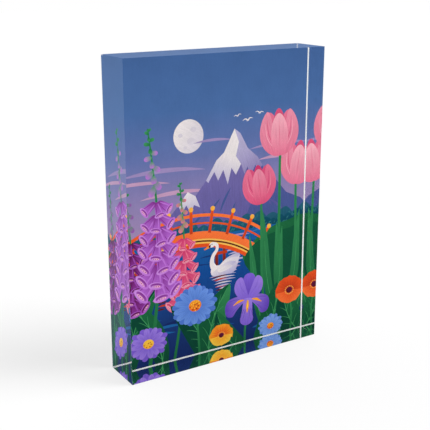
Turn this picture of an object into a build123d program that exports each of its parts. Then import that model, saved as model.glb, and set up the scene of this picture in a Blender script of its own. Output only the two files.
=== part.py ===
"""Free-standing acrylic block frame: a picture print bonded to the back of one thick clear block.

Row frame: X across the picture, Y from the front face to the back, Z up.
The origin is the middle of the footprint, on the surface that the block stands on.
All sizes are in millimetres.
"""

import os

from build123d import *

# The clear block: one inch sheet, sawn to the five by seven inch picture format and polished
block_width = 127.0
block_height = 177.8
block_depth = 25.4
edge_bevel = 0.1  # each leg of the 45 degree bevel polished along every edge

# The laminate on the back face, in order from the block outwards
mounting_film_thickness = 0.05
print_thickness = 0.25
backing_glue_thickness = 0.05
backing_sheet_thickness = 0.25

# How far each sheet is trimmed back, so that none of them can lift at an edge
print_trim = 0.05  # from the inner edge of the block's bevel to the print and its film
backing_trim = 0.1  # from the edge of the print to the glue and the backing sheet

# Places along Y that follow from the thicknesses
total_depth = (
    block_depth
    + mounting_film_thickness
    + print_thickness
    + backing_glue_thickness
    + backing_sheet_thickness
)
front_face_y = -total_depth / 2
block_back_y = front_face_y + block_depth
print_front_y = block_back_y + mounting_film_thickness
print_back_y = print_front_y + print_thickness
backing_front_y = print_back_y + backing_glue_thickness

# Sizes of the sheets that follow from the flat part of the block's back face
flat_width = block_width - 2 * edge_bevel
flat_height = block_height - 2 * edge_bevel
print_width = flat_width - 2 * print_trim
print_height = flat_height - 2 * print_trim
backing_width = print_width - 2 * backing_trim
backing_height = print_height - 2 * backing_trim


def upright_plane(front_y):
    """The plane that a sheet starts from: at front_y, half way up the block, facing the back."""
    return Plane(origin=(0, front_y, block_height / 2), x_dir=(-1, 0, 0), z_dir=(0, 1, 0))


os.makedirs("parts", exist_ok=True)

# The block: its picture is seen through the whole depth, so all six faces are flat and clear
with BuildPart() as acrylic_block:
    with BuildSketch(upright_plane(front_face_y)):
        Rectangle(block_width, block_height)
    extrude(amount=block_depth)
    chamfer(acrylic_block.edges(), length=edge_bevel)
acrylic_block.part.label = "acrylic_block"
export_step(acrylic_block.part, "parts/acrylic_block.step")

# Clear mounting film, which joins the picture side of the print to the block with no air between
with BuildPart() as mounting_film:
    with BuildSketch(upright_plane(block_back_y)):
        Rectangle(print_width, print_height)
    extrude(amount=mounting_film_thickness)
mounting_film.part.label = "mounting_film"
export_step(mounting_film.part, "parts/mounting_film.step")

# The picture print, its picture side towards the front
with BuildPart() as picture_print:
    with BuildSketch(upright_plane(print_front_y)):
        Rectangle(print_width, print_height)
    extrude(amount=print_thickness)
picture_print.part.label = "picture_print"
export_step(picture_print.part, "parts/picture_print.step")

# Glue layer of the protective backing
with BuildPart() as backing_glue:
    with BuildSketch(upright_plane(print_back_y)):
        Rectangle(backing_width, backing_height)
    extrude(amount=backing_glue_thickness)
backing_glue.part.label = "backing_glue"
export_step(backing_glue.part, "parts/backing_glue.step")

# Protective backing sheet, the outermost layer at the back
with BuildPart() as backing_sheet:
    with BuildSketch(upright_plane(backing_front_y)):
        Rectangle(backing_width, backing_height)
    extrude(amount=backing_sheet_thickness)
backing_sheet.part.label = "backing_sheet"
export_step(backing_sheet.part, "parts/backing_sheet.step")
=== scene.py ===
"""Looks of a free-standing acrylic block frame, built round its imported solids.

A garden picture is bonded to the back of a thick clear block, so it is seen through the block's
faces. The picture is drawn here as flat shapes, which are cut into one even sheet of faces.
"""

import math
import random
from collections import namedtuple

import bmesh
import bpy
import numpy as np
from mathutils import Euler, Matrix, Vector
from mathutils.geometry import delaunay_2d_cdt


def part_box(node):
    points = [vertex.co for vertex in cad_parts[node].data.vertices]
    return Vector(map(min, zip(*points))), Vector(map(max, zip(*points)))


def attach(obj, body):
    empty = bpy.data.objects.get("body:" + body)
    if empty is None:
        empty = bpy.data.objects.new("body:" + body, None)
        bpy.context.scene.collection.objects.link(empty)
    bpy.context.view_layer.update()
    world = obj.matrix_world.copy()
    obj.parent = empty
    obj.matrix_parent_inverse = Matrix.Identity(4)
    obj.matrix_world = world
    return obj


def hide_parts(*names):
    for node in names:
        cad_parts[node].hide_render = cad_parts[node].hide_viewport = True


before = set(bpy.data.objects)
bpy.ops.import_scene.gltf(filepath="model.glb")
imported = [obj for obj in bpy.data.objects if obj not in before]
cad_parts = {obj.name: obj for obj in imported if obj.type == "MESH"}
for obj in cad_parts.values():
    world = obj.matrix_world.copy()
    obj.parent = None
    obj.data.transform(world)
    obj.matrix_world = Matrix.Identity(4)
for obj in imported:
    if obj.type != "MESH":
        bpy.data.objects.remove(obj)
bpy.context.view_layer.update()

# Sizes that follow from the frame, in metres
block_low, block_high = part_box("acrylic_block")
film_low, film_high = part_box("mounting_film")
print_low, print_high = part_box("picture_print")

# Sizes of the looks alone, in metres
MM = 0.001
contact_depth = 0.02 * MM  # the clear body reaches this far past the picture, so no air shows between
pad_margin = 0.02 * MM  # and this far round it
floor_gap = 0.2 * MM  # from the block's foot to the floor, too little to see
least_edge = 0.0005 * MM  # where the picture's shapes nearly touch, shorter edges are closed up

# Sizes of the picture, which is drawn in millimetres from the print's lower left corner
sheet_width, sheet_height = ((print_high - print_low) / MM).xz
white_edge = 0.33  # the bare paper round the ink
overrun = 5.0  # how far shapes that reach the sheet's edge are drawn past it, before it is cut
least_gap = 0.0001  # points that are nearer than this become one
stroke_step = 1.7  # moves the brush marks of each shape away from those of the one before


def linear(name):
    """A colour of the palette in the renderer's linear units."""
    share = np.array(PALETTE[name], float) / 255
    return np.where(share <= 0.04045, share / 12.92, ((share + 0.055) / 1.055) ** 2.4)


def grey(value):
    """A neutral colour for a shader socket."""
    return (value, value, value, 1.0)


def new_object(name, mesh):
    """A mesh's own object, in the scene."""
    made = bpy.data.objects.new(name, mesh)
    bpy.context.scene.collection.objects.link(made)
    return made


class Nodes:
    """Builds a node tree in few words. An input is named, as in Base_Color=, or numbered, as in i0=."""

    def __init__(self, owner):
        owner.use_nodes = True
        self.tree = owner.node_tree
        self.tree.nodes.clear()

    def add(self, kind, settings=None, **inputs):
        """A node with its settings. Each input takes a value or another node's output."""
        node = self.tree.nodes.new("ShaderNode" + kind)
        for name, value in (settings or {}).items():
            setattr(node, name, value)
        for name, value in inputs.items():
            key = int(name[1:]) if name[1:].isdigit() else name.replace("_", " ")
            if isinstance(value, bpy.types.NodeSocket):
                self.tree.links.new(value, node.inputs[key])
            else:
                node.inputs[key].default_value = value
        return node

    def math(self, operation, a, b):
        """One calculation with two numbers."""
        return self.add("Math", {"operation": operation}, i0=a, i1=b).outputs[0]

    def mix(self, share, a, b):
        """Shader a where share is 0, and shader b where it is 1."""
        return self.add("MixShader", i0=share, i1=a, i2=b).outputs[0]

    def place(self):
        """The place on the object, in metres."""
        return self.add("TexCoord").outputs["Object"]

    def noise(self, place, scale, detail):
        """Noise from 0 to 1, with this many waves a metre."""
        return self.add("TexNoise", Vector=place, Scale=scale, Detail=detail).outputs["Fac"]

    def spread(self, value, low, high):
        """A value from 0 to 1, spread from low to high."""
        return self.add("MapRange", Value=value, To_Min=low, To_Max=high).outputs[0]

    def fade(self, value, limits, low, high):
        """Runs smoothly from low to high, while value runs between its limits."""
        start, end = limits
        node = self.add(
            "MapRange", {"interpolation_type": "SMOOTHSTEP"}, Value=value,
            From_Min=start, From_Max=end, To_Min=low, To_Max=high,
        )
        return node.outputs[0]

    def end(self, surface, kind="OutputMaterial"):
        """Makes a shader the tree's result."""
        self.add(kind, Surface=surface)


def new_material(name):
    """A material and its nodes."""
    material = bpy.data.materials.new(name)
    return material, Nodes(material)


# How the picture is drawn

PALETTE = {
    "sky_top": (65, 96, 147),
    "sky_high": (71, 103, 155),
    "sky_mid": (96, 110, 163),
    "sky_low": (136, 122, 168),
    "sky_glow": (168, 138, 172),
    "cloud": (150, 132, 178),
    "cloud_pink": (186, 146, 178),
    "moon": (229, 220, 219),
    "moon_shade": (206, 197, 207),
    "snow": (226, 217, 217),
    "snow_shade": (176, 168, 200),
    "rock": (118, 106, 162),
    "rock_dark": (88, 84, 146),
    "ridge": (66, 84, 138),
    "wood_far": (38, 88, 110),
    "wood": (20, 74, 94),
    "wood_dark": (14, 58, 80),
    "wood_light": (44, 104, 112),
    "water_light": (30, 92, 152),
    "water": (22, 70, 138),
    "water_dark": (26, 54, 110),
    "navy": (24, 40, 92),
    "ripple": (52, 116, 172),
    "orange": (222, 80, 34),
    "orange_dark": (186, 58, 30),
    "orange_light": (238, 112, 56),
    "gold": (236, 180, 84),
    "brown": (86, 30, 28),
    "leaf_light": (64, 146, 88),
    "leaf": (50, 128, 78),
    "leaf_mid": (34, 106, 62),
    "leaf_dark": (22, 84, 54),
    "leaf_deep": (14, 66, 50),
    "pink_pale": (238, 170, 184),
    "pink_light": (226, 138, 160),
    "pink": (222, 112, 142),
    "pink_dark": (212, 80, 118),
    "rose": (196, 58, 104),
    "lilac": (196, 134, 214),
    "orchid": (182, 110, 204),
    "purple": (166, 92, 190),
    "purple_mid": (148, 70, 166),
    "purple_dark": (126, 48, 134),
    "plum": (90, 22, 66),
    "violet_light": (150, 120, 212),
    "violet": (122, 92, 200),
    "violet_dark": (94, 64, 174),
    "blue_pale": (128, 162, 224),
    "blue_light": (104, 142, 214),
    "blue": (78, 116, 196),
    "blue_dark": (54, 92, 184),
    "amber": (240, 156, 40),
    "yellow": (244, 198, 70),
    "paper_white": (240, 240, 238),
}

# An outline, its colour at start and its shade at end, and how strongly the brush streaks it
Shape = namedtuple("Shape", "outline colour shade start end streaks")
shapes = []  # from the back to the front
dice = random.Random(7)  # for all that is uneven in the picture
golden_angle = 137.5  # degrees from one dot of a flower's heart to the next


def paint(outline, colour, shade=None, start=None, end=None, streaks=0.5):
    """Adds a shape over those painted before. It runs from colour at start to shade at end."""
    outline = np.asarray(outline, float)
    if start is None:
        start, end = outline.min(axis=0), outline.max(axis=0)
    start, end = np.array(start, float), np.array(end, float)
    shapes.append(Shape(outline, colour, shade or colour, start, end, streaks))


def smooth(points, steps, closed=True):
    """A round curve through the points, with this many steps from each to the next."""
    points = np.asarray(points, float)
    count = len(points)
    spans = count if closed else count - 1
    curve = []
    for i in range(spans):
        if closed:
            a, b, c, d = (points[(i + k) % count] for k in (-1, 0, 1, 2))
        else:
            a, b, c, d = (points[min(max(i + k, 0), count - 1)] for k in (-1, 0, 1, 2))
        for t in np.arange(steps) / steps:
            curve.append(
                b
                + (c - a) * t / 2
                + (2 * a - 5 * b + 4 * c - d) * t ** 2 / 2
                + (3 * b - a - 3 * c + d) * t ** 3 / 2
            )
    if not closed:
        curve.append(points[-1])
    return np.array(curve)


def placed(outline, at, turn, size=1.0):
    """An outline drawn round (0, 0), sized, turned anticlockwise by degrees, and moved."""
    c, s = math.cos(math.radians(turn)), math.sin(math.radians(turn))
    return np.asarray(outline, float) * size @ np.array([[c, s], [-s, c]]) + np.asarray(at, float)


def away(at, angle, distance):
    """The point at a distance from another, at an angle in degrees from straight up, clockwise."""
    a = math.radians(angle)
    return np.array([at[0] + math.sin(a) * distance, at[1] + math.cos(a) * distance])


def rectangle(low, high):
    """An upright rectangle between its lower left and upper right corners."""
    return [low, (high[0], low[1]), high, (low[0], high[1])]


def ellipse(at, across, up, turn=0.0, count=24):
    """An ellipse with these half axes."""
    angles = np.arange(count) * 2 * math.pi / count
    return placed(np.column_stack([np.cos(angles) * across, np.sin(angles) * up]), at, turn)


def arc(middle, radius, thick, reach):
    """A bar bent round a middle point, as far as an angle in degrees either side of straight up."""
    angles = np.linspace(-reach, reach, 30)
    outside = [away(middle, a, radius) for a in angles]
    inside = [away(middle, a, radius - thick) for a in angles[::-1]]
    return np.array(outside + inside)


def ribbon(points, widths, steps):
    """A brush stroke along a round line. Its width runs evenly through the widths."""
    line = smooth(points, steps, closed=False)
    way = np.gradient(line, axis=0)
    way /= np.linalg.norm(way, axis=1)[:, None]
    side = np.column_stack([-way[:, 1], way[:, 0]])
    share = np.linspace(0, 1, len(line))
    half = np.interp(share, np.linspace(0, 1, len(widths)), widths)[:, None] / 2
    return np.vstack([line + side * half, (line - side * half)[::-1]])


def bar(foot, head, width):
    """A straight bar between two points."""
    return ribbon([foot, head], [width], 1)


def stroke(points, widths, colour, steps=3):
    """A thin brush stroke in one colour."""
    paint(ribbon(points, widths, steps), colour, streaks=0.2)


def petal_shape(root, tip, width, fullness=0.55, bend=0.0, blunt=0.7, count=0):
    """A petal or leaf from root to tip, widest at fullness. Its middle line bows left by bend."""
    root, tip = np.array(root, float), np.array(tip, float)
    along = tip - root
    left = np.array([-along[1], along[0]])
    count = count or int(np.clip(np.linalg.norm(along), 9, 19))
    share = (1 - np.cos(np.linspace(0, math.pi, count))) / 2
    rise = blunt * fullness / (1 - fullness)
    half = share ** rise * (1 - share) ** blunt
    half *= width / 2 / half.max() / np.linalg.norm(along)
    bow = bend * 4 * share * (1 - share)
    line = root + share[:, None] * along
    one = line + (bow + half)[:, None] * left
    other = line + (bow - half)[:, None] * left
    return np.vstack([one, other[-2:0:-1]])


def petal(root, tip, width, colour, shade, fullness, bend=0.0, blunt=0.55, streaks=0.8):
    """A petal painted from colour at its root to shade at its tip."""
    paint(petal_shape(root, tip, width, fullness, bend, blunt), colour, shade, root, tip, streaks)


def lens(at, length, height, colour, tilt=0.0, streaks=0.6):
    """A thin level mark, pointed at both ends, such as a ripple or a wisp of cloud."""
    half = away((0, 0), 90 - tilt, length / 2)
    start, end = at - half, at + half
    petal(start, end, height, colour, colour, fullness=0.5, bend=0.04, blunt=0.9, streaks=streaks)


# Sky and land

# Here and in the flowers below, a motif's numbers are millimetres or shares of its own size.

def bands(stops, streaks):
    """Level bands right across the sheet, each from one stop's colour to the next one's."""
    for (low, low_colour), (high, high_colour) in zip(stops, stops[1:]):
        level = rectangle((-overrun, low), (sheet_width + overrun, high))
        paint(level, low_colour, high_colour, (0, low), (0, high), streaks)


def moon(at, radius):
    """A full moon with a few pale seas."""
    low, high = away(at, 120, radius), away(at, -60, radius)
    paint(ellipse(at, radius, radius, count=40), "moon_shade", "moon", low, high, streaks=0.7)
    for angle, far, size in [(40, 0.5, 0.2), (150, 0.35, 0.28), (-80, 0.55, 0.15), (200, 0.7, 0.12)]:
        spot = away(at, angle, radius * far)
        sea = ellipse(spot, radius * size, radius * size * 0.8, count=16)
        paint(sea, "moon_shade")


def clouds():
    """Thin evening clouds round the peak."""
    for x, z, length, height, colour in [
        (30, 112, 54, 2.6, "cloud"),
        (14, 107, 40, 2.0, "cloud_pink"),
        (108, 120, 44, 2.2, "cloud"),
        (112, 112.5, 40, 2.4, "cloud_pink"),
        (38, 99, 46, 2.4, "cloud_pink"),
        (62, 127, 26, 1.6, "cloud"),
    ]:
        lens((x, z), length, height, colour, tilt=dice.uniform(-1.5, 1.5))


def peak():
    """A snowy peak: its lit side, its shaded side, a cap of snow on each, and furrows below."""
    crest = [
        (76, 133), (80, 130), (85, 121), (92, 115), (98, 105), (106, 99), (113, 91), (124, 86), (134, 76),
    ]
    lit = [(18, 70), (30, 84), (39, 93), (45, 100), (50, 97), (57, 105), (64, 116), (69, 120)]
    paint(lit + crest + [(134, 66), (18, 66)], "rock_dark", "rock", (80, 68), (76, 133), streaks=0.9)
    fold = [(134, 66), (88, 66), (84, 80), (89, 90), (81, 98), (84, 108), (77, 117), (79, 125)]
    paint(crest + fold, "ridge", "rock_dark", (96, 66), (80, 126), streaks=0.9)
    cap = [
        (76, 133), (79, 125), (77, 117), (80.5, 112), (77, 106), (74, 110.5), (71.5, 101),
        (68.5, 110), (65, 104), (62.5, 109.5), (58.5, 103.5), (57, 105), (64, 116), (69, 120),
    ]
    paint(cap, "snow_shade", "snow", (68, 100), (74, 118), streaks=0.8)
    far_cap = [
        (76, 133), (80, 130), (85, 121), (92, 115), (95.5, 109.5), (92, 106), (90.5, 110.5),
        (87, 103.5), (85, 110), (83, 105.5), (80.5, 112), (77, 117), (79, 125),
    ]
    paint(far_cap, "rock", "snow_shade", (88, 100), (79, 124), streaks=0.8)
    low_cap = [(45, 100), (50, 97), (53, 90), (49, 92), (47, 87), (44, 92.5), (41, 88), (39, 93)]
    paint(low_cap, "snow_shade", "snow", (46, 87), (45, 100))
    for x, z, length, tilt, colour in [
        (70, 92, 16, 62, "ridge"),
        (62, 88, 14, 50, "ridge"),
        (52, 83, 12, 40, "ridge"),
        (75, 84, 12, 72, "ridge"),
        (98, 90, 16, -52, "rock_dark"),
        (106, 84, 14, -40, "rock_dark"),
    ]:
        lens((x, z), length, 1.5, colour, tilt=tilt)


def trees(low, high, start, end, colour, shade, light, step):
    """A row of round tree crowns along the far shore, each with a few lit leaf marks."""
    dome = smooth([
        (-0.62, -0.2), (-0.6, 0.25), (-0.42, 0.62), (-0.16, 0.9),
        (0.12, 1.0), (0.4, 0.78), (0.6, 0.36), (0.62, -0.2),
    ], 3)
    x = start
    while x < end:
        wide = step * dice.uniform(0.75, 1.35)
        tall = (high - low) * dice.uniform(0.65, 1.1)
        middle = x + wide / 2
        x += wide * 0.72
        crown = dome * [wide, tall] + [middle, low]
        paint(crown, shade, colour, (middle, low), (middle, low + tall), streaks=0.9)
        for _ in range(4):
            at = (middle + dice.uniform(-0.35, 0.35) * wide, low + dice.uniform(0.3, 0.8) * tall)
            lens(at, 2.4, 0.9, light, tilt=dice.uniform(20, 70))


def water():
    """The lake, its ripples, and the peak's reflection, broken by the waves."""
    bands([(-5, "navy"), (26, "water_dark"), (50, "water"), (72, "water_light")], streaks=0.9)
    far_colours = ["ripple", "water_dark", "water_light", "navy"]
    near_colours = ["water", "water_light", "navy"]
    ripples = 40
    for i in range(ripples):
        z = 70 - 68 * (i / ripples) ** 1.15
        at = (dice.uniform(-4, 130), z)
        length = dice.uniform(10, 26)
        colour = dice.choice(far_colours if z > 34 else near_colours)
        lens(at, length, 0.7 + (72 - z) * 0.02, colour, tilt=dice.uniform(-1, 1))
    for i in range(11):
        at = (77 + dice.uniform(-2.5, 2.5), 69 - i * 2.1)
        length = (19 - i * 1.3) * dice.uniform(0.7, 1.1)
        lens(at, length, 1.2, "snow_shade" if i % 3 else "cloud", streaks=0.4)


def bank(points, shade):
    """A round piece of land, dark at its first point."""
    paint(smooth(points, 4), "leaf_deep", shade, points[0], points[len(points) // 2], streaks=0.9)


def bridge():
    """An arched footbridge with a railing, on two pairs of posts that stand in the water."""
    middle, radius, reach = (47, 0), 76.0, 37.0
    water_line = 51.0
    left_posts, right_posts = 27.5, 66.5
    for x in (left_posts, right_posts):
        for i in range(9):
            at = (x + dice.uniform(-0.8, 0.8), water_line - 1 - i * 2.1)
            lens(at, 13 - i, 1.2, "orange_dark" if i % 2 else "brown", streaks=0.4)
        for side in (-2.6, 2.6):
            paint(bar((x + side, water_line), (x + side, 72), 2.0), "brown", "orange_dark")
        paint(bar((x - 4.6, 60.5), (x + 4.6, 60.5), 1.8), "orange_dark")
    for lift, thick, colour, shade in [
        (0.0, 9.6, "orange_dark", "orange"),
        (0.0, 4.4, "orange", "orange_light"),
        (-4.5, 1.0, "gold", "gold"),
        (-5.5, 0.9, "brown", "brown"),
        (-6.4, 1.0, "gold", "gold"),
        (5.4, 1.1, "orange_dark", "orange"),
        (10.5, 1.9, "orange", "orange_light"),
    ]:
        paint(arc(middle, radius + lift, thick, reach), colour, shade, (20, 60), (47, 82), streaks=0.7)
    posts = 9
    for i in range(posts):
        a = -reach + 2 * reach * i / (posts - 1)
        foot, head = away(middle, a, radius - 1), away(middle, a, radius + 12.5)
        paint(bar(foot, head, 1.9), "orange_dark", "orange", foot, head)
        paint(ellipse(away(middle, a, radius + 13.4), 1.5, 1.5, count=12), "amber", "gold")


def bird(at, size, tilt):
    """A far bird on the wing."""
    for side in (-1, 1):
        wing = placed([(0, 0), (side * 0.45, 0.3), (side * 1.0, 0.12)], at, tilt, size)
        stroke(wing, [size * 0.2, size * 0.16, 0.08], "moon", 3)
    body = petal_shape((-0.28, -0.08), (0.3, 0.02), 0.2)
    paint(placed(body, at, tilt, size), "moon_shade", streaks=0.2)


def swan(at, size):
    """A swan afloat, seen from its side, with its likeness broken up in the water."""

    def spots(points):
        return np.array(points) * size + np.array(at, float)

    for i in range(7):
        mark = (at[0] + dice.uniform(-1, 1), at[1] - 0.9 - i * 1.6)
        lens(mark, size * (1.15 - 0.13 * i), 0.9, "moon_shade" if i % 2 else "snow_shade", streaks=0.4)
    body = smooth(spots([
        (-0.5, 0.02), (-0.56, 0.16), (-0.5, 0.3), (-0.34, 0.36), (-0.1, 0.36), (0.2, 0.42), (0.44, 0.5),
        (0.66, 0.62), (0.6, 0.36), (0.52, 0.14), (0.4, 0.0), (0.0, -0.03), (-0.34, -0.02),
    ]), 4)
    low, high = spots([(0.1, -0.05), (-0.1, 0.42)])
    paint(body, "snow_shade", "snow", low, high, streaks=0.8)
    neck = spots([(-0.36, 0.2), (-0.5, 0.46), (-0.46, 0.74), (-0.3, 0.96), (-0.31, 1.14), (-0.46, 1.2)])
    widths = np.array([0.3, 0.19, 0.14, 0.12, 0.125, 0.13]) * size
    paint(ribbon(neck, widths, 5), "moon", "snow", neck[0], neck[4])
    head, eye = spots([(-0.5, 1.17), (-0.5, 1.19)])
    paint(ellipse(head, size * 0.135, size * 0.09, turn=22), "snow", "moon")
    paint(spots([(-0.585, 1.19), (-0.84, 1.05), (-0.8, 1.02), (-0.57, 1.08)]), "orange_light", "amber")
    paint(spots([(-0.55, 1.2), (-0.64, 1.15), (-0.62, 1.08), (-0.56, 1.08)]), "brown")
    paint(ellipse(eye, size * 0.02, size * 0.02, count=8), "brown")
    for root, tip, wide, tip_colour in [
        ((-0.2, 0.2), (0.66, 0.66), 0.3, "snow_shade"),
        ((-0.26, 0.2), (0.6, 0.52), 0.27, "moon_shade"),
        ((-0.28, 0.17), (0.5, 0.37), 0.24, "snow_shade"),
        ((-0.26, 0.14), (0.36, 0.24), 0.2, "moon_shade"),
    ]:
        one, other = spots([root, tip])
        petal(one, other, size * wide, "snow", tip_colour, fullness=0.4, bend=0.03, blunt=0.6)


# Leaves and flowers

# Their colours are given from dark to light.

def leaf(root, tip, width, colours, bend=0.12):
    """A leaf with a darker half, its midrib and side veins."""
    fullness, blunt, veins = 0.45, 0.75, 5
    deep, light = colours
    root, tip = np.array(root, float), np.array(tip, float)
    petal(root, tip, width, deep, light, fullness, bend, blunt, streaks=0.9)
    along = tip - root
    left = np.array([-along[1], along[0]])
    unit = left / np.linalg.norm(along)

    def midline(share):
        return root + along * share + left * bend * 4 * share * (1 - share)

    one = petal_shape(root, tip, width, fullness, bend, blunt)
    inner = [midline(s) for s in np.linspace(0.96, 0.04, 7)]
    paint(np.vstack([one[:len(one) // 2 + 1], inner]), deep, deep, root, tip, streaks=0.9)
    stroke([midline(s) for s in (0.0, 0.3, 0.6, 0.94)], [0.8, 0.25], "leaf_light")
    for k in range(veins):
        share = 0.14 + 0.58 * k / (veins - 1)
        reach = width * 0.34 * math.sin(math.pi * min(0.2 + share, 1.0))
        for side in (-1, 1):
            start, end = midline(share), midline(share + 0.13) + unit * side * reach
            stroke([start, (start + end) / 2 + along * 0.012, end], [0.4, 0.15], "leaf_light", 2)


def blade(points, width):
    """A long narrow leaf that arches along its points."""
    points = np.array(points, float)
    widths = [width * 0.5, width * 0.9, width, width * 0.75, 0.25]
    paint(ribbon(points, widths, 5), "leaf_dark", "leaf", points[0], points[-1], streaks=0.9)
    stroke(points[:-1], [0.45, 0.2], "leaf_light", 4)


def stem(points, width):
    """A stem along its points, a little thinner at its head."""
    paint(ribbon(points, [width, width * 0.75], 5), "leaf_mid", "leaf", points[0], points[-1])


def tulip(head, foot, size, lean, colours=("pink_dark", "pink", "pink_light", "pink_pale")):
    """A tulip, seen from the side: three petals behind, two folded round, and one in front."""
    head, foot = np.array(head, float), np.array(foot, float)
    middle = (head + foot) / 2 + [lean * 0.22, 0]
    stem([foot, middle, head], size * 0.11)
    deep, mid, light, pale = colours

    def at(angle, distance):
        return away(head, lean + angle, size * distance)

    for angle, length, low, top in [(-15, 1.3, deep, mid), (15, 1.3, deep, mid), (0, 1.34, "rose", deep)]:
        petal(head, at(angle, length), size * 0.4, low, top, fullness=0.6)
    for side in (-1, 1):
        tip, bend = at(side * 17, 1.34), -0.15 * side
        petal(head, tip, size * 0.54, mid, light, fullness=0.42, bend=bend, blunt=0.58)
        stroke([at(side * 30, 0.34), at(side * 30, 0.72), at(side * 21, 1.14)], [0.2, 0.5, 0.2], deep)
        stroke([at(side * 42, 0.36), at(side * 37, 0.7), at(side * 26, 1.06)], [0.15, 0.4, 0.15], pale)
    petal(head, at(0, 1.2), size * 0.58, mid, pale, fullness=0.46)
    for angle in (-8, 0, 8):
        ends = at(angle * 1.4, 0.26), at(angle * 1.5, 0.62), at(angle, 0.94 if angle else 1.06)
        stroke(ends, [0.2, 0.42, 0.15], light if angle else mid)
    for side in (-1, 1):
        tall = (head[1] - foot[1]) * dice.uniform(0.62, 0.85)
        knee = foot + [side * size * 0.5, tall * 0.5]
        tip = foot + [side * size * 0.66 + lean * 0.2, tall]
        low_bend = (foot + knee) / 2 + [side, 0]
        high_bend = (knee + tip) / 2 - [side * 0.3, 0]
        blade([foot, low_bend, knee, high_bend, tip], size * 0.3)


def bell(root, angle, size, colours):
    """A hanging flower cup, its mouth at an angle in degrees from straight up."""
    deep, mid, light, rim = colours
    side = away((0, 0), angle + 90, size)

    def at(far, off):
        return away(root, angle, size * far) + side * off

    profile = [(0, 0.1), (0.16, 0.22), (0.55, 0.3), (0.9, 0.35), (1.1, 0.46)]
    cup = [at(far, -off) for far, off in profile] + [at(far, off) for far, off in profile[::-1]]
    paint(smooth(cup, 4), deep, mid, root, at(0.8, 0), streaks=0.9)
    stroke([at(0.1, -0.08), at(0.5, -0.15), at(0.92, -0.22)], [0.2, size * 0.12, 0.3], light, 3)
    stroke([at(0.2, 0.12), at(0.6, 0.19), at(0.94, 0.26)], [0.2, size * 0.05, 0.2], deep, 3)
    mouth = ellipse(at(1.07, 0), size * 0.46, size * 0.2, turn=-angle, count=22)
    paint(mouth, light, rim, at(1, -0.4), at(1, 0.4))
    throat = ellipse(at(1.05, 0), size * 0.35, size * 0.12, turn=-angle, count=18)
    paint(throat, deep, mid, at(0.95, 0), at(1.16, 0))
    lip = ellipse(at(1.11, 0), size * 0.26, size * 0.065, turn=-angle, count=14)
    paint(lip, rim, "pink_pale", streaks=0.3)
    for off in (-0.13, 0.0, 0.13):
        paint(ellipse(at(1.11, off), size * 0.03, size * 0.022, count=7), "plum", streaks=0.2)


def foxglove(foot, head, size, rows, colours):
    """A tall spike of hanging bells, large below and in bud at the top."""
    foot, head = np.array(foot, float), np.array(head, float)
    bow = np.array([(head - foot)[1], -(head - foot)[0]]) * 0.04
    knees = [(foot * 2 + head) / 3 + bow, (foot + head * 2) / 3 + bow]
    line = smooth([foot, *knees, head], 8, closed=False)
    paint(ribbon(line[::4], [size * 0.2, size * 0.07], 3), "leaf_mid", "leaf", foot, head)

    def spot(share):
        far = share * (len(line) - 1)
        low = min(int(far), len(line) - 2)
        return line[low] + (line[low + 1] - line[low]) * (far - low)

    for row in range(rows):
        share = row / rows
        at, grown = spot(0.4 + 0.36 * share), size * (1.0 - 0.44 * share)
        for side in ((-1, 1) if row % 2 else (1, -1)):
            bell(away(at, side * 90, size * 0.08), side * (130 + dice.uniform(-6, 6)), grown, colours)
        bell(at, 180 + (12 if row % 2 else -12) + dice.uniform(-4, 4), grown * 0.94, colours)
    buds = 15
    for row in range(buds):
        share = row / (buds - 1)
        at, grown = spot(0.765 + 0.235 * share), size * (0.52 - 0.36 * share)
        base, top = ("leaf_light", colours[2]) if share < 0.55 else ("leaf_mid", "leaf_light")
        side = (-1, 1, 0)[row % 3]
        turn = side * (150 - 110 * share) if side else 180
        root, tip = away(at, turn, -0.1 * grown), away(at, turn, grown * (1.0 if side else 0.7))
        petal(root, tip, grown * 0.62, base, top, fullness=0.62, blunt=0.42)


def daisy(at, radius, colours, petals=13, tilt=0.86, heart=("orange", "amber"), turn=0.0):
    """An open flower of many narrow petals round a raised heart, seen a little from the side."""
    deep, mid, light = colours
    at = np.array(at, float)

    def spot(angle, distance):
        return at + away((0, 0), angle, distance) * [1, tilt]

    for ring, (reach, wide, low, top) in enumerate([(1.0, 0.36, deep, mid), (0.92, 0.31, mid, light)]):
        for k in range(petals):
            angle = turn + (k + 0.5 * ring) * 360 / petals + dice.uniform(-3, 3)
            long = radius * reach * dice.uniform(0.92, 1.04)
            tip = away((0, 0), angle, long)
            shape = petal_shape((0, 0), tip, radius * wide, fullness=0.66, blunt=0.45, count=9)
            paint(shape * [1, tilt] + at, low, top, at, spot(angle, long), streaks=0.9)
            if ring:
                for off in (-3.5, 3.5):
                    ends = [spot(angle + off, long * 0.34), spot(angle + off, long * 0.8)]
                    stroke(ends, [0.3, 0.12], mid, 1)
    core = radius * 0.27
    low, high = at - [0, core], at + [0, core]
    heart_low, heart_high = heart
    paint(ellipse(at, core, core * tilt, count=22), heart_low, heart_high, low, high, streaks=0.6)
    dots = 18
    for k in range(dots):
        dot = spot(k * golden_angle, core * math.sqrt((k + 0.5) / dots) * 0.88)
        paint(ellipse(dot, core * 0.1, core * 0.09, count=7), "yellow" if k % 3 else "brown", streaks=0.2)


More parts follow.
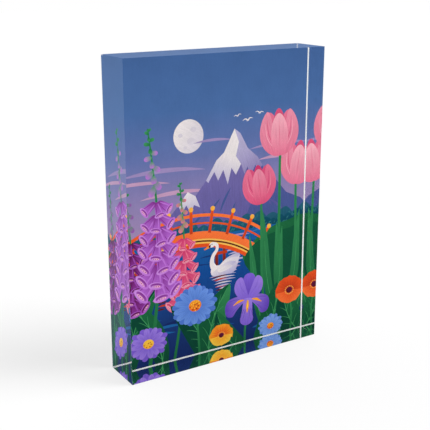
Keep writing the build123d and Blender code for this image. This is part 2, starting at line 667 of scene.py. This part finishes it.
def iris(at, size, lean):
    """An iris: three upright petals, and three that fall, each with a golden streak."""
    deep, mid, light = "violet_dark", "violet", "violet_light"

    def spot(angle, distance):
        return away(at, lean + angle, size * distance)

    petal(spot(0, -0.05), spot(0, 1.06), size * 0.62, deep, mid, fullness=0.62, blunt=0.4)
    for side in (-1, 1):
        fall = smooth([
            spot(side * 40, 0.02), spot(side * 66, 0.42), spot(side * 84, 0.84), spot(side * 100, 1.02),
            spot(side * 120, 1.08), spot(side * 133, 0.9), spot(side * 128, 0.62), spot(side * 120, 0.28),
        ], 4)
        paint(fall, light, deep, spot(0, 0), spot(side * 112, 1.0), streaks=0.9)
        streak = [spot(side * 88, 0.16), spot(side * 94, 0.4), spot(side * 104, 0.66)]
        stroke(streak, [size * 0.03, size * 0.11, size * 0.02], "amber", 4)
        for turn in (76, 112):
            stroke([spot(side * turn, 0.3), spot(side * (turn + 12), 0.84)], [0.15, 0.4], deep, 1)
        tip, bend = spot(side * 27, 1.02), -0.13 * side
        petal(spot(0, 0), tip, size * 0.5, mid, light, fullness=0.6, bend=bend, blunt=0.42)
        stroke([spot(side * 20, 0.2), spot(side * 34, 0.56), spot(side * 28, 0.9)], [0.2, 0.4, 0.15], mid)
    tongue = smooth([
        spot(-60, 0.12), spot(-100, 0.2), spot(-152, 0.5), spot(-162, 0.92), spot(180, 1.04),
        spot(162, 0.92), spot(152, 0.5), spot(100, 0.2), spot(60, 0.12),
    ], 4)
    paint(tongue, light, mid, spot(0, 0), spot(180, 1.0), streaks=0.9)
    streak = [spot(180, 0.02), spot(180, 0.24), spot(180, 0.52)]
    stroke(streak, [size * 0.05, size * 0.14, size * 0.03], "amber", 4)
    stroke([spot(180, 0.04), spot(180, 0.34)], [size * 0.03, size * 0.06], "yellow", 1)
    for turn in (-158, -168, 168, 158):
        stroke([spot(turn, 0.4), spot(turn, 0.86)], [0.4, 0.15], deep, 1)


def poppy(at, radius, colours=("orange_dark", "orange", "orange_light")):
    """A wide flower of a few broad crinkled petals."""
    deep, mid, light = colours

    def spot(angle, distance):
        return at + away((0, 0), angle, radius * distance) * [1, 0.84]

    for angle, low, top, reach in [
        (0, deep, mid, 1.0),
        (70, deep, mid, 0.97),
        (-70, deep, mid, 0.97),
        (140, mid, light, 0.92),
        (-140, mid, light, 0.92),
    ]:
        edge = [spot(angle + off, reach * dice.uniform(0.92, 1.0)) for off in range(-44, 45, 11)]
        edge = smooth(edge, 3, closed=False)
        paint(np.vstack([[spot(0, 0)], edge]), low, top, spot(0, 0), spot(angle, reach), streaks=0.9)
        for off in (-26, -9, 9, 26):
            crease = [spot(angle + off, 0.3), spot(angle + off, 0.74)]
            stroke(crease, [0.4, 0.12], deep if top == mid else mid, 1)
    paint(ellipse(at, radius * 0.2, radius * 0.17, count=16), "brown", "plum")
    dots = 14
    for k in range(dots):
        dot = spot(k * 360 / dots, 0.27)
        paint(ellipse(dot, radius * 0.035, radius * 0.035, count=7), "gold", streaks=0.2)


def draw_garden():
    """The whole picture, from the back to the front."""
    top = sheet_height + 2
    sky = [(60, "sky_glow"), (96, "sky_low"), (120, "sky_mid"), (146, "sky_high"), (top, "sky_top")]
    bands(sky, streaks=0.35)
    moon((46, 131.5), 9.5)
    clouds()
    peak()
    bird((85, 137), 3.6, 8)
    bird((93, 140.5), 3.0, -6)
    bird((78, 140), 2.6, 12)
    trees(70, 82, -4, 130, "wood_far", "wood", "wood_light", 10)
    trees(69, 77, -6, 44, "wood", "wood_dark", "wood_light", 9)
    trees(69, 79, 84, 130, "wood", "wood_dark", "wood_light", 9)
    water()
    left_bank = [(-6, 40), (-6, 68), (4, 70), (13, 66), (18, 58), (14, 48), (4, 42)]
    right_bank = [(132, 30), (132, 72), (114, 73), (98, 69), (88, 62), (82, 54), (92, 46), (110, 40)]
    near_left_bank = [(-6, 20), (-6, 62), (3, 61), (11, 57), (16, 50), (12, 40), (8, 30)]
    near_right_bank = [(132, 20), (132, 68), (116, 68), (100, 66), (89, 61), (83, 53), (88, 44), (98, 34)]
    bank(left_bank, "leaf_mid")
    bank(right_bank, "leaf_mid")
    bridge()
    swan((69, 47), 16.5)
    bank(near_left_bank, "leaf_dark")
    bank(near_right_bank, "leaf_dark")
    shaded, lit = ("leaf_deep", "leaf_mid"), ("leaf_dark", "leaf")
    leaf((6, -4), (26, 48), 15, shaded)
    leaf((28, -6), (4, 42), 14, shaded, bend=-0.1)
    foxglove((2, 0), (6, 108), 9.5, 6, ("plum", "purple_dark", "purple_mid", "purple"))
    foxglove((34, -4), (40, 106), 9.5, 6, ("rose", "pink_dark", "pink", "pink_light"))
    foxglove((18, -4), (21, 138), 12.5, 7, ("purple_dark", "purple", "orchid", "lilac"))
    tulip((120, 95), (118, 0), 20, 7)
    tulip((108, 114), (110, 0), 21, -3)
    tulip((95, 86), (100, 0), 18, -7, ("rose", "pink_dark", "pink", "pink_light"))
    leaf((56, -6), (33, 34), 17, shaded, bend=-0.12)
    leaf((58, -6), (73, 40), 18, lit, bend=0.1)
    leaf((88, -8), (64, 24), 15, shaded, bend=0.14)
    leaf((92, -8), (108, 34), 19, lit, bend=-0.1)
    leaf((128, -6), (112, 30), 18, shaded, bend=0.1)
    stem([(52, -4), (51, 12), (50, 26)], 1.6)
    stem([(84, -4), (84, 8), (86, 22)], 1.7)
    stem([(118, -4), (119, 12), (117, 24)], 1.5)
    daisy((49, 31), 15.5, ("blue_dark", "blue", "blue_light"))
    iris((86, 27), 16, 4)
    poppy((117, 27), 11.5)
    poppy((67, 8), 9, ("orange", "amber", "yellow"))
    daisy((18, 14), 13, ("violet_dark", "violet", "violet_light"), 12, 0.82, ("amber", "yellow"), 10)
    daisy((103, 6), 9.5, ("blue_dark", "blue_light", "blue_pale"), 12, 0.84)


def leave_white_edges():
    """The print's four edges, which the ink doesn't reach."""
    for x in (white_edge - overrun, sheet_width - white_edge):
        edge = rectangle((x, -overrun), (x + overrun, sheet_height + overrun))
        paint(edge, "paper_white", streaks=0.0)
    for z in (white_edge - overrun, sheet_height - white_edge):
        edge = rectangle((-overrun, z), (sheet_width + overrun, z + overrun))
        paint(edge, "paper_white", streaks=0.0)


# The pieces


def cut_into_faces():
    """Cuts all the shapes where they cross, and gives each small face to the shape painted last.

    Returns the points, and the faces as pairs of corner numbers and shape number.
    """
    limits = np.array(rectangle((0, 0), (sheet_width, sheet_height)), float)
    points, outlines = [], []
    for outline in [limits] + [shape.outline for shape in shapes]:
        x, z = outline[:, 0], outline[:, 1]
        runs_clockwise = (x * np.roll(z, -1) - np.roll(x, -1) * z).sum() < 0
        if runs_clockwise:
            outline = outline[::-1]
        outlines.append(list(range(len(points), len(points) + len(outline))))
        points += [Vector(p) for p in outline.tolist()]
    inside_only = 1
    cut = delaunay_2d_cdt(points, [], outlines, inside_only, least_gap, True)
    found, _, triangles, _, _, owners = cut
    faces = []
    for corners, owner in zip(triangles, owners):
        if 0 in owner and max(owner) > 0:
            faces.append((corners, max(owner) - 1))
    return [tuple(p) for p in found], faces


def add_painted_faces(bm):
    """The print's picture side. Its corners hold the paint's colour and the way of the brush."""
    points, faces = cut_into_faces()
    corners = {}
    for n in sorted({n for numbers, _ in faces for n in numbers}):
        x, z = points[n]
        corners[n] = bm.verts.new((print_low.x + x * MM, print_low.y, print_low.z + z * MM))
    colours = bm.loops.layers.float_color.new("paint")
    strokes = bm.loops.layers.float_vector.new("stroke")
    for numbers, last in faces:
        shape = shapes[last]
        face = bm.faces.new([corners[n] for n in numbers])
        along = shape.end - shape.start
        length = float(np.hypot(*along))
        along = along / length
        first, second = linear(shape.colour), linear(shape.shade)
        for loop, n in zip(face.loops, numbers):
            offset = np.array(points[n]) - shape.start
            u, v = float(offset @ along), float(offset @ (-along[1], along[0]))
            share = min(max(u / length, 0.0), 1.0)
            loop[colours] = (*(first + (second - first) * share), shape.streaks)
            loop[strokes] = (u, v, last * stroke_step)
    bmesh.ops.dissolve_degenerate(bm, edges=bm.edges, dist=least_edge)


def close_behind(bm):
    """The paper's edges and its back, behind the picture side, with the same order of faces each run."""
    rim = [edge for edge in bm.edges if edge.is_boundary]
    behind = {}
    for edge in rim:
        for v in edge.verts:
            if v not in behind:
                behind[v] = bm.verts.new((v.co.x, print_high.y, v.co.z))
    sides = []
    for edge in rim:
        one, other = edge.verts
        sides.append(bm.faces.new([one, other, behind[other], behind[one]]))
    back = bmesh.ops.contextual_create(bm, geom=[edge for edge in bm.edges if edge.is_boundary])["faces"]
    for face in sides + back:
        face.material_index = 1
    bmesh.ops.recalc_face_normals(bm, faces=bm.faces)


def make_picture(front, back):
    """The print: its picture side in the front material, its edges and back in the other."""
    bm = bmesh.new()
    add_painted_faces(bm)
    close_behind(bm)
    mesh = bpy.data.meshes.new("picture")
    bm.to_mesh(mesh)
    bm.free()
    mesh.materials.append(front)
    mesh.materials.append(back)
    return new_object("picture", mesh)


def bevel_width():
    """The width of the block's bevel, as its solid has it."""
    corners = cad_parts["acrylic_block"].data.vertices
    across = sorted({round(v.co.x - block_low.x, 6) for v in corners})
    return across[1]


def make_block(clear):
    """The clear block and its mounting film, as one closed body that takes in the picture's face."""
    bevel = bevel_width()
    size, middle = block_high - block_low, (block_low + block_high) / 2
    bm = bmesh.new()
    bmesh.ops.create_cube(bm, size=1.0)
    for v in bm.verts:
        v.co = middle + v.co * size
    bmesh.ops.bevel(bm, geom=list(bm.edges), offset=bevel, segments=3, profile=0.5, affect="EDGES")
    back = max(bm.faces, key=lambda f: f.calc_center_median().y)
    margin = film_low.x - pad_margin - (block_low.x + bevel)
    bmesh.ops.inset_region(bm, faces=[back], thickness=margin)
    pad = bmesh.ops.extrude_discrete_faces(bm, faces=[back])["faces"][0]
    for v in pad.verts:
        v.co.y = film_high.y + contact_depth
    sorting_way = Vector((1, 3, 9))
    bm.faces.sort(key=lambda f: f.calc_center_median() @ sorting_way)  # the bevel leaves their order open
    mesh = bpy.data.meshes.new("clear_block")
    bm.to_mesh(mesh)
    bm.free()
    mesh.materials.append(clear)
    return new_object("clear_block", mesh)


# Materials


def clear_acrylic():
    """Polished acrylic. Light for what is behind it passes straight through, and the eye sees it bent."""
    material, n = new_material("clear_acrylic")
    tint = (0.955, 0.985, 0.98, 1.0)
    glass = n.add("BsdfPrincipled", Base_Color=tint, Roughness=0.0, IOR=1.49, Transmission_Weight=1.0)
    path = n.add("LightPath")
    lighting = n.math("MAXIMUM", path.outputs["Is Shadow Ray"], path.outputs["Is Diffuse Ray"])
    inside = n.add("NewGeometry").outputs["Backfacing"]
    # A face lets less light by when it is met from outside, so the block casts a shadow on the floor
    passed = n.spread(inside, low=0.42, high=0.96)
    straight = n.add("BsdfTransparent", Color=passed)
    n.end(n.mix(lighting, glass.outputs[0], straight.outputs[0]))
    return material


def painted_print():
    """Opaque paint, brushed along each shape, on a faint paper grain, with no shine under the block."""
    material, n = new_material("painted_print")
    hair_pitch = (0.14, 2.2, 1.0)  # waves a millimetre along a stroke and across it, and shape to shape
    hair_strength, wash_strength, grain_strength = 0.55, 0.16, 0.12
    ink = n.add("Attribute", {"attribute_name": "paint"})
    course = n.add("Attribute", {"attribute_name": "stroke"}).outputs["Vector"]
    brushed = n.add("VectorMath", {"operation": "MULTIPLY"}, i0=course, i1=hair_pitch)
    hairs = n.add("TexNoise", Vector=brushed.outputs[0], Scale=1.0, Detail=3.0, Roughness=0.6)
    place = n.place()
    wash = n.noise(place, scale=90.0, detail=3.0)
    grain = n.noise(place, scale=1400.0, detail=2.0)
    streak = n.math("MULTIPLY", n.math("SUBTRACT", hairs.outputs["Fac"], 0.5), ink.outputs["Alpha"])
    tone = n.math("ADD", 1.0, n.math("MULTIPLY", streak, hair_strength))
    for unevenness, strength in [(wash, wash_strength), (grain, grain_strength)]:
        tone = n.math("ADD", tone, n.math("MULTIPLY", n.math("SUBTRACT", unevenness, 0.5), strength))
    toned = n.add("VectorMath", {"operation": "SCALE"}, i0=ink.outputs["Color"], Scale=tone)
    shader = n.add("BsdfPrincipled", Base_Color=toned.outputs[0], Roughness=0.9, Specular_IOR_Level=0.0)
    n.end(shader.outputs[0])
    return material


def paper():
    """Bare photo paper with fine fibres."""
    material, n = new_material("paper")
    fibres = n.noise(n.place(), scale=1800.0, detail=4.0)
    colour = n.spread(fibres, low=0.78, high=0.86)
    shader = n.add("BsdfPrincipled", Base_Color=colour, Roughness=0.8)
    n.end(shader.outputs[0])
    return material


def vinyl():
    """White backing sheet with a fine even tooth."""
    material, n = new_material("white_vinyl")
    tooth_depth = 0.05 * MM
    place = n.place()
    tooth = n.noise(place, scale=1500.0, detail=3.0)
    cloud = n.noise(place, scale=35.0, detail=3.0)
    colour = n.spread(cloud, low=0.74, high=0.8)
    rough = n.spread(tooth, low=0.42, high=0.58)
    bump = n.add("Bump", Height=tooth, Strength=0.25, Distance=tooth_depth)
    shader = n.add("BsdfPrincipled", Base_Color=colour, Roughness=rough, Normal=bump.outputs[0])
    n.end(shader.outputs[0])
    return material


def glue():
    """Clear adhesive, a little milky."""
    material, n = new_material("clear_glue")
    cloud = n.noise(n.place(), scale=200.0, detail=2.0)
    rough = n.spread(cloud, low=0.15, high=0.3)
    shader = n.add("BsdfPrincipled", Base_Color=(0.82, 0.82, 0.78, 1.0), Roughness=rough)
    n.end(shader.outputs[0])
    return material


# The stage

# To the camera and through the block, the floor and the surround are white or nearly so. What the
# block's polished faces mirror is dark in front of it and a muted blue behind it.
white = grey(1.0)
fill_front, fill_back = 0.48, 0.85  # light on the object from in front and from behind
fill_limits = (-0.2, 0.8)  # how far back a direction points where these begin and end
through_low, through_high = 0.96, 0.8  # the surround as seen through the block, level and higher up
through_limits = (0.0, 0.35)  # how far up a direction points there
mirrored_sky = (0.2, 0.29, 0.5, 1.0)
sky_limits = (-0.1, 0.5)  # how far back a direction points where the mirrored surround comes up

floor_reach = 4.0  # metres from the middle to each side
floor_glow, floor_catch = 0.66, 0.25  # the floor's own light, and its share of the lamp's, for the shadow
floor_bounce = 0.7  # the floor's whiteness, where it lights the object
mirrored_floor = (0.6, 0.78, 1.0, 1.0)
mirrored_front, mirrored_back = 0.02, 0.62  # the mirrored floor in front of the block and behind it
floor_limits = (-0.04, 0.08)  # where, in metres towards the back, the one turns into the other

key_energy, key_width = 3.6, 32  # the lamp's strength, and how many degrees across it looks
key_rise, key_turn = 45, -31.7  # degrees above the floor, and from +X, anticlockwise seen from above

lens_length, sensor_width = 70.09, 36.0  # millimetres
inch = 25.4 * MM
camera_offset = (-7.1384, -14.8393, 8.6652)  # inches from the block's near left foot
camera_turn, camera_dip = 31.932, 16.399  # degrees to the right of +Y, and below level


def surround():
    """A plain white surround, which lights the object softly from all sides."""
    world = bpy.data.worlds.new("surround")
    bpy.context.scene.world = world
    n = Nodes(world)
    path = n.add("LightPath")
    way = n.add("SeparateXYZ", Vector=n.add("TexCoord").outputs["Generated"])
    back, up = way.outputs["Y"], way.outputs["Z"]
    seen = n.add("Background", Color=white, Strength=1.0)
    fill = n.add("Background", Color=white, Strength=n.fade(back, fill_limits, fill_front, fill_back))
    shade = n.fade(up, through_limits, through_low, through_high)
    through = n.add("Background", Color=white, Strength=shade)
    mirrored = n.add("Background", Color=mirrored_sky, Strength=n.fade(back, sky_limits, 0.0, 1.0))
    rest = n.mix(path.outputs["Is Glossy Ray"], fill.outputs[0], mirrored.outputs[0])
    rest = n.mix(path.outputs["Is Transmission Ray"], rest, through.outputs[0])
    n.end(n.mix(path.outputs["Is Camera Ray"], rest, seen.outputs[0]), "OutputWorld")


def floor():
    """A plain white floor that keeps the object's shadow."""
    material, n = new_material("floor")
    path = n.add("LightPath")
    glow = n.add("Emission", Color=white, Strength=floor_glow)
    catch = n.add("BsdfDiffuse", Color=grey(floor_catch))
    shown = n.add("AddShader", i0=glow.outputs[0], i1=catch.outputs[0])
    back = n.add("SeparateXYZ", Vector=n.add("NewGeometry").outputs["Position"]).outputs["Y"]
    strength = n.fade(back, floor_limits, mirrored_front, mirrored_back)
    mirrored = n.add("Emission", Color=mirrored_floor, Strength=strength)
    lit = n.add("BsdfDiffuse", Color=grey(floor_bounce))
    seen = n.math("MAXIMUM", path.outputs["Is Camera Ray"], path.outputs["Is Transmission Ray"])
    unseen = n.mix(path.outputs["Is Glossy Ray"], lit.outputs[0], mirrored.outputs[0])
    n.end(n.mix(seen, unseen, shown.outputs[0]))
    material.cycles.emission_sampling = "NONE"
    sides = rectangle((-floor_reach, -floor_reach), (floor_reach, floor_reach))
    mesh = bpy.data.meshes.new("floor")
    mesh.from_pydata([(x, y, -floor_gap) for x, y in sides], [], [(0, 1, 2, 3)])
    mesh.materials.append(material)
    new_object("floor", mesh)


def key_light():
    """A wide soft light from the right, low enough for a long shadow to the left."""
    light = bpy.data.lights.new("key", "SUN")
    light.angle = math.radians(key_width)
    light.energy = key_energy
    made = bpy.data.objects.new("key", light)
    rise = math.radians(key_rise)
    turned = Euler((0.0, 0.0, math.radians(key_turn))).to_matrix()
    way = turned @ Vector((math.cos(rise), 0.0, math.sin(rise)))
    made.rotation_euler = way.to_track_quat("Z", "Y").to_euler()
    made.visible_glossy = False
    made.visible_transmission = False
    bpy.context.scene.collection.objects.link(made)


def camera():
    """The photograph's own view, fitted to the block's corners."""
    data = bpy.data.cameras.new("camera")
    data.lens = lens_length
    data.sensor_width = sensor_width
    made = bpy.data.objects.new("camera", data)
    near_foot = Vector((block_low.x, block_low.y, 0))
    made.location = near_foot + Vector(camera_offset) * inch
    made.rotation_euler = Euler((math.radians(90 - camera_dip), 0.0, math.radians(-camera_turn)))
    bpy.context.scene.collection.objects.link(made)
    bpy.context.scene.camera = made


camera()
surround()
floor()
key_light()

acrylic = make_block(clear_acrylic())
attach(acrylic, "root")
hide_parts("acrylic_block", "mounting_film")

draw_garden()
leave_white_edges()
picture = make_picture(painted_print(), paper())
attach(picture, "root")
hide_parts("picture_print")

for node, material in (("backing_glue", glue()), ("backing_sheet", vinyl())):
    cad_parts[node].data.materials.clear()
    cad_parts[node].data.materials.append(material)

bpy.context.scene.view_settings.view_transform = "Standard"
